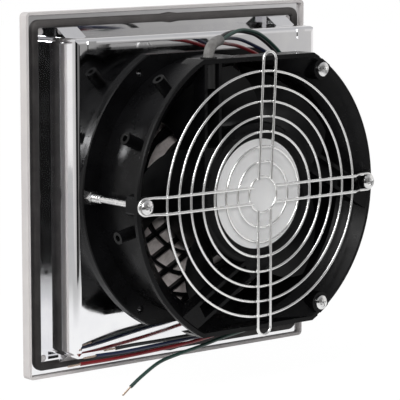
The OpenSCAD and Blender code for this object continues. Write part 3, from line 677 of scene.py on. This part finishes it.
@dataclass
class Studio:
    """The camera, the floor and the light."""

    eye: Point = (0.8382, 1.0278, 0.1782)
    turn: Point = (81.93, 0.0, 140.10)
    lens: float = 208.8
    sensor: float = 36.0
    floor_z: float = -0.1045
    reach: float = 3.0
    edge: float = 0.40
    wide: float = 1.0
    fade: tuple[float, float] = (0.26, 0.42)
    far_light: float = 0.5
    seen_light: float = 1.03
    glow_share: float = 0.95
    ceiling_rise: tuple[float, float] = (0.35, 0.8)

    # The room's light by the angle from the way to the camera, in degrees, above zero on its right.
    ROOM: ClassVar[tuple[tuple[float, float], ...]] = (
        (-180, 0.95), (-70, 0.90), (-57, 0.72), (-14, 0.58), (-7, 0.006), (20, 0.006), (28, 0.18), (50, 0.18),
        (58, 0.02), (66, 0.03), (71, 0.20), (78.5, 0.35), (83, 0.66), (99, 0.90), (180, 0.95),
    )
    TINT: ClassVar[Colour] = (1.0, 0.985, 0.975)
    CEILING: ClassVar[Colour] = (0.50, 0.50, 0.51)
    TABLE: ClassVar[Colour] = (0.85, 0.85, 0.85)
    WHITE: ClassVar[Colour] = (1.0, 1.0, 1.0)
    # Each lamp's name, place, aim, size and power.
    LAMPS: ClassVar[tuple[tuple[str, Point, Point, tuple[float, float], float], ...]] = (
        ("key_box", (0.9, 0.5, 1.1), (0.0, 0.03, 0.0), (0.7, 0.7), 9.0),
        ("front_box", (0.80, 1.00, 0.45), (0.0, 0.05, 0.0), (0.24, 0.20), 6.0),
    )

    def ways(self) -> tuple[Vector, Vector]:
        """Returns the level ways to the camera and to its right."""
        near = Vector((self.eye[0], self.eye[1], 0.0)).normalized()
        return near, Vector((-near.y, near.x, 0.0))

    def camera(self) -> None:
        """Makes the camera at the photograph's place."""
        data = bpy.data.cameras.new("camera")
        data.lens = self.lens
        data.sensor_width = self.sensor
        data.clip_start = 0.01
        camera = Meshes.placed("camera", data)
        camera.location = self.eye
        camera.rotation_euler = tuple(math.radians(a) for a in self.turn)
        bpy.context.scene.camera = camera
        bpy.context.scene.view_settings.view_transform = "Standard"

    def world(self) -> None:
        """Makes a room that is white behind the object, light on the camera's left and dark round it."""
        world = bpy.data.worlds.new("studio")
        bpy.context.scene.world = world
        world.use_nodes = True
        graph = Graph(world.node_tree)
        way = graph.node("ShaderNodeTexCoord", out="Generated")
        facing, beside = (
            graph.node("ShaderNodeVectorMath", {"operation": "DOT_PRODUCT"}, {0: way, 1: axis}, 1)
            for axis in self.ways()
        )
        around = beside.maths("ARCTAN2", facing) / math.tau + 0.5
        stops = [(angle / 360 + 0.5, tuple(light * t for t in self.TINT)) for angle, light in self.ROOM]
        room = graph.node("ShaderNodeValToRGB", {"stops": stops}, {0: around})
        height = graph.part(way, 2)
        dome = graph.mix(height.smooth(*self.ceiling_rise), room, self.CEILING)
        seen = graph.node("ShaderNodeLightPath", out="Is Camera Ray")
        colour = graph.mix(seen, dome, self.WHITE)
        light = graph.node("ShaderNodeBackground", {}, {"Color": colour, "Strength": 1.0})
        graph.node("ShaderNodeOutputWorld", {}, {"Surface": light})

    def floor(self) -> None:
        """Makes the pale table top, white to the camera and in bright metal but for a soft shadow."""
        near, right = self.ways()
        level = Vector((0.0, 0.0, self.floor_z))
        corners = (
            (-self.reach, -self.wide), (self.edge, -self.wide),
            (self.edge, self.wide), (-self.reach, self.wide),
        )
        piece = Meshes.piece("floor", [level + u * near + v * right for u, v in corners], [(0, 1, 2, 3)])
        material = bpy.data.materials.new("floor_white")
        material.use_nodes = True
        graph = Graph(material.node_tree)
        matt = graph.node("ShaderNodeBsdfDiffuse", {}, {"Color": (*self.TABLE, 1.0)})
        seen, mirrored, passed = (
            graph.node("ShaderNodeLightPath", out=ray)
            for ray in ("Is Camera Ray", "Is Glossy Ray", "Is Transmission Ray")
        )
        far = graph.node("ShaderNodeVectorMath", {"operation": "LENGTH"}, {0: graph.place()}, 1)
        bright = far.smooth(*self.fade, 1.0, self.far_light).maths("MAXIMUM", seen * self.seen_light)
        glow = graph.node("ShaderNodeEmission", {}, {"Color": (*self.WHITE, 1.0), "Strength": bright})
        share = seen.maths("MAXIMUM", mirrored).maths("MAXIMUM", passed) * self.glow_share
        shown = graph.node("ShaderNodeMixShader", {}, {0: share, 1: matt, 2: glow})
        graph.node("ShaderNodeOutputMaterial", {}, {"Surface": shown})
        piece.data.materials.append(material)

    def lamp(self, name: str, place: Point, aim: Point, size: tuple[float, float], power: float) -> None:
        """Makes one soft box.

        Args:
            name: The lamp's name.
            place: Where it stands.
            aim: The point that it faces.
            size: Its width and height.
            power: Its power in watts.
        """
        data = bpy.data.lights.new(name, "AREA")
        data.shape = "RECTANGLE"
        data.size, data.size_y = size
        data.energy = power
        made = Meshes.placed(name, data)
        made.location = place
        made.rotation_euler = (Vector(aim) - Vector(place)).to_track_quat("-Z", "Y").to_euler()

    def build(self) -> None:
        """Sets up the whole studio."""
        self.camera()
        self.world()
        self.floor()
        for lamp in self.LAMPS:
            self.lamp(*lamp)
        LOG.info("studio ready")


@dataclass
class Cords:
    """The grey sleeve and the four leads, on the routes of their solids."""

    workshop: Workshop
    sleeve_d: float = 5.8 * MM
    lead_d: float = 2.0 * MM
    core_d: float = 1.1 * MM
    strands: int = 7
    strand_steps: int = 24
    strand_sides: int = 6
    turns: float = 1.6
    shortest: float = 0.94
    sleeve: tuple[Point, ...] = (
        (33, 72, 62), (33, 72, 68), (33, 72, 74), (33, 72, 79), (31.5, 71, 82.5), (28, 69, 85),
        (23, 66.2, 86.3), (18, 63.5, 86.8),
    )
    leads: dict[str, tuple[Point, ...]] = field(default_factory=lambda: {
        "black": (
            (18, 63.5, 88.3), (9, 59.5, 90), (0, 56.5, 90.5), (-9, 54.5, 89.5), (-18, 53.5, 87),
            (-29, 53, 80), (-38, 53, 71), (-50, 53, 60), (-65, 53, 43), (-75, 53, 21), (-77, 53, -3),
            (-71, 53, -27), (-59, 52.5, -48), (-41, 52, -64), (-18, 50.5, -75), (4, 49.5, -78),
            (25, 46, -79), (45, 43, -80), (60, 39, -81), (70, 36.5, -82),
        ),
        "green": (
            (18, 65, 86.8), (9, 62, 89.5), (0, 60, 91.3), (-9, 58.5, 90.5), (-18, 57.5, 87.5),
            (-29, 57, 80), (-38, 57, 71), (-50, 57, 60), (-65, 57, 43), (-75, 57, 21), (-77, 57, -3),
            (-71, 57, -27), (-59, 57, -48), (-41, 57, -64), (-18, 56.5, -76), (8, 56, -80.5),
            (25, 56, -83.5), (41, 57, -85.5), (56, 58, -88), (70, 60, -93.5), (78, 60, -98.5),
        ),
        "blue": (
            (18, 62, 86.8), (9, 57, 87), (0, 53, 86.5), (-9, 50.5, 85), (-19, 49.3, 81.5), (-29, 49, 77),
            (-38, 49, 70.5), (-50, 49, 60), (-65, 49, 43), (-75, 49, 21), (-77, 49, -3), (-71, 49, -27),
            (-59, 48.5, -48), (-41, 48, -64), (-18, 47, -76), (4, 46.5, -79.5), (25, 45, -81),
            (45, 42, -82.5), (65, 39, -84), (83, 36, -84.5),
        ),
        "red": (
            (18, 63.5, 85.3), (9, 57, 84.3), (0, 51, 83), (-9, 47.5, 81.5), (-19, 45.5, 78.5),
            (-29, 45, 74), (-38, 45, 68.5), (-50, 45, 60), (-65, 45, 43), (-75, 45, 21), (-77, 45, -3),
            (-71, 45, -27), (-59, 44.5, -48), (-41, 44, -65), (-18, 43, -78), (4, 42.5, -82),
            (25, 41.5, -84.5), (45, 39.5, -86), (70, 37, -87.5), (93, 35, -88),
        ),
    })
    tips: dict[str, Point] = field(default_factory=lambda: {
        "black": (77, 35, -82.5), "green": (83.5, 60, -102.5), "blue": (91, 35, -85), "red": (101, 34, -88.5),
    })

    def build(self) -> None:
        line = Meshes.flowing(self.sleeve)
        tube = Meshes.tube("woven_sleeve", line, self.sleeve_d / 2, 24)
        self.workshop.dress(tube, "sleeve_grey", Body.FIXED, "cable_sleeve")
        Meshes.length(line)
        ends = self.bare_ends()
        for colour, route in self.leads.items():
            line = Meshes.flowing(route)
            lead = Meshes.tube(f"{colour}_lead", line, self.lead_d / 2)
            self.workshop.dress(lead, f"lead_{colour}", Body.FIXED, f"lead_{colour}_wire")
            Meshes.length(line)

    def bare_ends(self) -> bpy.types.Object:
        """Twists the strands of the four stripped ends.

        Returns:
            One piece with all the strands.
        """
        points: list[Vector] = []
        faces: list[tuple[int, ...]] = []
        for colour, tip in self.tips.items():
            start, end = Vector(self.leads[colour][-1]) * MM, Vector(tip) * MM
            self._twist(points, faces, start, end)
        made = Meshes.piece("twisted_ends", points, faces)
        self.workshop.dress(made, "bare_wire", Body.FIXED, "stripped_ends")
        return made

    def _twist(self, points: list[Vector], faces: list[tuple[int, ...]], start: Vector, end: Vector) -> None:
        """Adds the strands of one end.

        Args:
            points: The points so far.
            faces: The faces so far.
            start: Where the insulation stops.
            end: The tip.
        """
        way = end - start
        side = way.cross(Vector((0, 1, 0))).normalized()
        up = way.normalized().cross(side)
        strand = self.core_d / 6
        steps, sides = self.strand_steps, self.strand_sides
        for s in range(self.strands):
            base = len(points)
            reach = 0.0 if s == 0 else self.core_d / 2 - strand
            share = self.shortest + (1 - self.shortest) * (s * 5 % self.strands) / (self.strands - 1)
            for i in range(steps + 1):
                t = i / steps
                a = 2 * math.pi * (s / (self.strands - 1) + self.turns * t)
                centre = start + way * t * share + reach * (math.cos(a) * side + math.sin(a) * up)
                for k in range(sides):
                    b = 2 * math.pi * k / sides
                    points.append(centre + strand * (math.cos(b) * side + math.sin(b) * up))
            faces += Meshes.skin(steps + 1, sides, base)
            faces.append(tuple(base + k for k in range(sides)))
            faces.append(tuple(base + steps * sides + k for k in range(sides)))


@dataclass
class GasketSeal:
    """The foam strip round the flange, crowned, with a swelling at the middle of each side."""

    workshop: Workshop
    corner: float = 5.5 * MM
    width: float = 4.6 * MM
    swell: float = 0.7 * MM
    swell_l: float = 6.0 * MM
    step: float = 2.0 * MM
    crown: int = 12
    square: float = 0.6
    corner_steps: int = 6

    def outline(self, half: float) -> list[tuple[Vector, Vector, float]]:
        """Walks round the strip's outer edge.

        Args:
            half: Half of the strip's outer width.

        Returns:
            Each place with its way out and how much the strip swells there.
        """
        places: list[tuple[Vector, Vector, float]] = []
        straight = half - self.corner
        count = round(2 * straight / self.step)
        for turn in range(4):
            a = math.radians(90 * turn)
            out, along = Vector((math.cos(a), 0, math.sin(a))), Vector((-math.sin(a), 0, math.cos(a)))
            for k in range(count):
                t = straight * (2 * k / count - 1)
                places.append((half * out + t * along, out, max(0.0, 1 - abs(t) / self.swell_l)))
            centre = straight * (out + along)
            for k in range(self.corner_steps):
                b = a + math.radians(90 * k / self.corner_steps)
                way = Vector((math.cos(b), 0, math.sin(b)))
                places.append((centre + self.corner * way, way, 0.0))
        return places

    def build(self) -> None:
        """Makes the strip in place of its solid."""
        low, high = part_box("gasket")
        thick = high[1] - low[1]
        points: list[Vector] = []
        places = self.outline((high[0] - low[0]) / 2)
        for place, out, swell in places:
            half = self.width / 2 + self.swell * swell
            middle = place - out * self.width / 2
            for k in range(self.crown + 1):
                a = math.pi * k / self.crown
                across = math.copysign(abs(math.cos(a)) ** self.square, math.cos(a))
                rise = Vector((0, low[1] + thick * math.sin(a) ** self.square, 0))
                points.append(middle + out * half * across + rise)
        faces = Meshes.skin(len(places), self.crown + 1, closed=True)
        self.workshop.dress(Meshes.piece("foam_gasket", points, faces), "gasket_foam", Body.FIXED, "gasket")


@dataclass
class FleeceMat:
    """The filter mat: a lofty pad with rounded edges and loose fibres on the side towards the fan."""

    workshop: Workshop
    cells: int = 56
    crowd: float = 0.35
    edge_loss: float = 0.65
    edge_power: int = 24
    lump: float = 0.5 * MM
    lumps: float = 90.0
    fibre_r: float = 0.09 * MM
    fibre_l: float = 6.0 * MM
    fibre_density: float = 100000.0
    fibre_sizes: tuple[float, float] = (0.5, 1.3)
    fibre_bend: tuple[tuple[float, float], ...] = ((-0.5, 0.0), (0.0, 0.18), (0.5, -0.05))
    rear_from: float = 0.8

    def pad(self) -> bpy.types.Object:
        """Makes the pad.

        Returns:
            The pad, as a closed shell.
        """
        low, high = (Vector(corner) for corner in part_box("filter_mat"))
        middle, half = (low + high) / 2, (high - low) / 2
        row = self.cells + 1
        points: list[Vector] = []
        for face in (-1, 1):
            for i in range(row):
                for j in range(row):
                    u, v = 2 * i / self.cells - 1, 2 * j / self.cells - 1
                    u, v = (math.sin(math.pi / 2 * t) * self.crowd + t * (1 - self.crowd) for t in (u, v))
                    full = 1 - self.edge_loss * max(abs(u), abs(v)) ** self.edge_power
                    spot = Vector((half.x * u, 0, half.z * v))
                    rough = 0.5 + 0.5 * noise.noise(spot * self.lumps + Vector((0, face * 7.0, 0)))
                    bulge = face * (half.y * full - self.lump * rough)
                    points.append(middle + spot + Vector((0, bulge, 0)))
        size = row * row
        faces: list[tuple[int, ...]] = []
        for face in (0, size):
            for i in range(self.cells):
                for j in range(self.cells):
                    a = face + i * row + j
                    faces.append((a, a + row, a + row + 1, a + 1))
        last = self.cells
        rim = [i * row for i in range(row)] + [last * row + j for j in range(1, row)]
        rim += [i * row + last for i in range(last - 1, -1, -1)] + list(range(last - 1, 0, -1))
        faces += [(a, b, b + size, a + size) for a, b in zip(rim, rim[1:] + rim[:1])]
        return Meshes.piece("fleece_mat", points, faces)

    def fibres(self, pad: bpy.types.Object) -> bpy.types.Object:
        """Scatters bent fibres over the pad's side towards the fan.

        Args:
            pad: The pad.

        Returns:
            The fibres as one mesh.
        """
        base = Meshes.placed("loose_fibres", pad.data.copy())
        growth = Growth("loose_fibres", {
            "density": self.fibre_density, "radius": self.fibre_r, "length": self.fibre_l,
            "sink": -self.fibre_r,
        })
        normal = growth.node("GeometryNodeInputNormal")
        outward = growth.part(normal, 1)
        rear = growth.node("FunctionNodeCompare", {"operation": "GREATER_THAN"}, {
            0: outward, 1: self.rear_from,
        })
        spots = growth.node("GeometryNodeDistributePointsOnFaces", {}, {
            "Mesh": growth.start(), "Selection": rear, "Density": growth.size("density"), "Seed": 5,
        })
        reach = growth.size("length")
        ends = [
            growth.node("ShaderNodeCombineXYZ", {}, {0: reach * x, 1: growth.size("sink"), 2: reach * z})
            for x, z in self.fibre_bend
        ]
        bend = growth.node("GeometryNodeCurveQuadraticBezier", {}, {
            "Resolution": 5, "Start": ends[0], "Middle": ends[1], "End": ends[2],
        })
        section = growth.node("GeometryNodeCurvePrimitiveCircle", {}, {
            "Resolution": 3, "Radius": growth.size("radius"),
        })
        fibre = growth.node("GeometryNodeCurveToMesh", {}, {"Curve": bend, "Profile Curve": section})
        angle = growth.node("FunctionNodeRandomValue", {}, {2: 0.0, 3: 2 * math.pi, "Seed": 3}, 1)
        turn = growth.node("ShaderNodeCombineXYZ", {}, {1: angle})
        least, most = self.fibre_sizes
        size = growth.node("FunctionNodeRandomValue", {}, {2: least, 3: most, "Seed": 8}, 1)
        spread = growth.node("GeometryNodeInstanceOnPoints", {}, {
            "Points": spots, "Instance": fibre, "Rotation": turn, "Scale": size,
        })
        return growth.realise(base, spread, self.workshop.finish("filter_fleece"))

    def build(self) -> None:
        """Makes the mat in place of its solid."""
        pad = self.pad()
        fibres = self.fibres(pad)
        self.workshop.dress(pad, "filter_fleece", Body.FIXED, "filter_mat")
        self.workshop.dress(fibres, "filter_fleece", Body.FIXED)


@dataclass
class Impeller:
    """The hub ring and its five blades, made as one fifth that is repeated round the axis."""

    workshop: Workshop
    blades: int = 5
    start: float = 10.0
    hub_in: float = 33.55 * MM
    hub_out: float = 36.35 * MM
    tip: float = 70.5 * MM
    depth: float = 31.0 * MM
    span: float = 50.0
    twist: float = 9.0
    sweep: float = -21.0
    bow: float = 3.0 * MM
    thick: float = 2.4 * MM
    edge: float = 0.7 * MM
    fullness: float = 0.7
    fillet: float = 1.2 * MM
    root_rise: float = 0.94
    rise_loss: float = 0.12
    cut: float = 0.8 * MM
    rows: int = 22
    crowd: float = 0.4
    steps: int = 26
    arc: int = 16

    def blade_point(self, front: float, u: float, v: float, face: int) -> Vector:
        """Returns a point of one blade, with a fillet at its root.

        Args:
            front: Where the hub starts along the axis.
            u: From 0 at the root to 1 at the tip.
            v: From 0 at the front edge to 1 at the rear edge.
            face: -1 for the front face, 1 for the rear face.

        Returns:
            The point, in metres from the axis.
        """
        root = (self.hub_in + self.hub_out) / 2
        r = root + (self.tip - root) * u
        spread = self.span / 2 + self.twist * (1 - u) / 2
        a = math.radians(-self.sweep * u * u - spread * (2 * v - 1))
        rise = self.depth * (self.root_rise - self.rise_loss * u)
        belly = math.sin(math.pi * v)
        fillet = self.fillet * math.exp(-max(0.0, r - self.hub_out) / self.fillet) * belly
        half = face * ((self.edge + (self.thick - self.edge) * belly**self.fullness) / 2 + fillet)
        y = front + self.depth / 2 + rise * (v - 0.5) + self.bow * (belly - 0.5) + half
        return Vector((r * math.sin(a), y, r * math.cos(a)))

    def fifth(self, front: float) -> bpy.types.Object:
        """Makes one blade with its part of the hub.

        Args:
            front: Where the hub starts along the axis.

        Returns:
            The piece, round the origin's Y axis.
        """
        points: list[Vector] = []
        ring = 2 * (self.steps + 1)
        for i in range(self.rows + 1):
            u = i / self.rows
            u = u * u * self.crowd + u * (1 - self.crowd)
            points += [self.blade_point(front, u, j / self.steps, -1) for j in range(self.steps + 1)]
            points += [self.blade_point(front, u, 1 - j / self.steps, 1) for j in range(self.steps + 1)]
        faces = Meshes.skin(self.rows + 1, ring)
        for end in (0, self.rows * ring):
            last = end + ring - 1
            faces += [(end + j, end + j + 1, last - 1 - j, last - j) for j in range(self.steps)]
        rear = front + self.depth
        cut, soft = self.cut, self.cut * 0.3
        section = [
            (self.hub_in, front), (self.hub_out - cut, front), (self.hub_out - soft, front + soft),
            (self.hub_out, front + cut), (self.hub_out, rear - cut), (self.hub_out - soft, rear - soft),
            (self.hub_out - cut, rear), (self.hub_in, rear),
        ]
        base = len(points)
        for i in range(self.arc + 1):
            a = 2 * math.pi / self.blades * (i / self.arc - 0.5)
            points += [Vector((r * math.sin(a), y, r * math.cos(a))) for r, y in section]
        faces += Meshes.skin(self.arc + 1, len(section), base)
        return Meshes.piece("blade_wheel", points, faces)

    def build(self) -> None:
        """Repeats the fifth round the fan's axis, in place of its solid."""
        base = self.fifth(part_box("impeller")[0][1])
        growth = Growth("blade_wheel", {
            "step": 2 * math.pi / self.blades, "start": math.radians(self.start), "rise": FAN_RISE,
        })
        middle = growth.node("ShaderNodeCombineXYZ", {}, {2: growth.size("rise")})
        spots = growth.node("GeometryNodePoints", {}, {"Count": self.blades, "Position": middle})
        angle = growth.node("GeometryNodeInputIndex") * growth.size("step") + growth.size("start")
        turn = growth.node("ShaderNodeCombineXYZ", {}, {1: angle})
        wheel = growth.node("GeometryNodeInstanceOnPoints", {}, {
            "Points": spots, "Instance": growth.start(), "Rotation": turn,
        })
        growth.realise(base, wheel, self.workshop.finish("black_moulding"))
        self.workshop.dress(base, "black_moulding", Body.ROTOR, "impeller")


@dataclass
class WireGuard:
    """The weld spots where the guard's legs cross its rings."""

    workshop: Workshop
    outer: float = 68.0 * MM
    inner: float = 9.9 * MM
    rings: int = 8
    apart: float = 4.5 * MM
    level: float = 79.9 * MM
    legs: tuple[float, ...] = (0.0, 180.0, -90.0, 92.6)
    spot: float = 0.72 * MM
    flat: float = 0.8
    wide: float = 1.25

    def crossings(self) -> list[Vector]:
        """Returns every place where a leg's wire lies on a ring."""
        places: list[Vector] = []
        for i in range(self.rings):
            r = self.outer + (self.inner - self.outer) * i / (self.rings - 1)
            reach = math.sqrt(r * r - self.apart**2)
            for leg in self.legs:
                a = math.radians(leg)
                along, across = Vector((math.cos(a), 0, math.sin(a))), Vector((-math.sin(a), 0, math.cos(a)))
                for side in (-1, 1):
                    flat = reach * along + side * self.apart * across
                    places.append(flat + Vector((0, self.level, FAN_RISE)))
        return places

    def build(self) -> None:
        """Makes the weld spots."""
        base = Meshes.piece("weld_spots", self.crossings())
        growth = Growth("weld_spots", {"radius": self.spot, "flat": self.flat, "wide": self.wide})
        blob = growth.node("GeometryNodeMeshIcoSphere", {}, {
            "Radius": growth.size("radius"), "Subdivisions": 3,
        })
        squash = growth.node("ShaderNodeCombineXYZ", {}, {
            0: growth.size("wide"), 1: growth.size("flat"), 2: growth.size("wide"),
        })
        spread = growth.node("GeometryNodeInstanceOnPoints", {}, {
            "Points": growth.start(), "Instance": blob, "Scale": squash,
        })
        growth.realise(base, spread, self.workshop.finish("guard_chrome"))
        self.workshop.dress(base, "guard_chrome", Body.FIXED)


@dataclass
class BoltThreads:
    """The threads of the four bolts behind their nuts."""

    workshop: Workshop
    circle: float = 81.0 * MM
    places: tuple[float, ...] = (0.0, 180.0, 125.0, 235.0)
    begin: float = 32.4 * MM
    length: float = 7.0 * MM
    pitch: float = 0.7 * MM
    radius: float = 2.0 * MM
    ridge: float = 0.22 * MM

    def build(self) -> None:
        """Winds a thread on each bolt."""
        base = Meshes.piece("bolt_threads", [
            (self.circle * math.cos(a), self.begin, FAN_RISE + self.circle * math.sin(a))
            for a in map(math.radians, self.places)
        ])
        growth = Growth("bolt_threads", {
            "turns": self.length / self.pitch, "radius": self.radius, "length": self.length,
            "ridge": self.ridge,
        })
        spiral = growth.node("GeometryNodeCurveSpiral", {}, {
            "Resolution": 18, "Rotations": growth.size("turns"), "Start Radius": growth.size("radius"),
            "End Radius": growth.size("radius"), "Height": growth.size("length"),
        })
        section = growth.node("GeometryNodeCurvePrimitiveCircle", {}, {
            "Resolution": 6, "Radius": growth.size("ridge"),
        })
        thread = growth.node("GeometryNodeCurveToMesh", {}, {
            "Curve": spiral, "Profile Curve": section, "Fill Caps": True,
        })
        wound = growth.node("GeometryNodeInstanceOnPoints", {}, {
            "Points": growth.start(), "Instance": thread, "Rotation": (-math.pi / 2, 0.0, 0.0),
        })
        growth.realise(base, wound, self.workshop.finish("bolt_zinc"))
        self.workshop.dress(base, "bolt_zinc", Body.FIXED)


class FilterFan:
    """The whole object: its solids with their finishes, and the pieces made here."""

    def __init__(self, frame: dict[str, Any]) -> None:
        """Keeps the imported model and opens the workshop."""
        self.frame = frame
        self.workshop = Workshop()

    def paint(self) -> None:
        """Gives each solid the finish that the record names."""
        for part in self.frame["record"]["subparts"]:
            node = self.frame["nodes"][part["node"]]
            material = self.workshop.finish(part["material_slot"])
            node.data.materials.clear()
            node.data.materials.append(material)
        LOG.info("%d solids painted", len(self.frame["nodes"]))

    def build(self) -> None:
        """Dresses the object."""
        self.paint()
        for assembly in (Cords, GasketSeal, FleeceMat, Impeller, WireGuard, BoltThreads):
            assembly(self.workshop).build()


def main() -> None:
    """Builds the scene."""
    logging.basicConfig(level=logging.INFO, format="%(name)s: %(message)s")
    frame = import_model()
    Studio().build()
    FilterFan(frame).build()


if __name__ == "__main__":
    main()
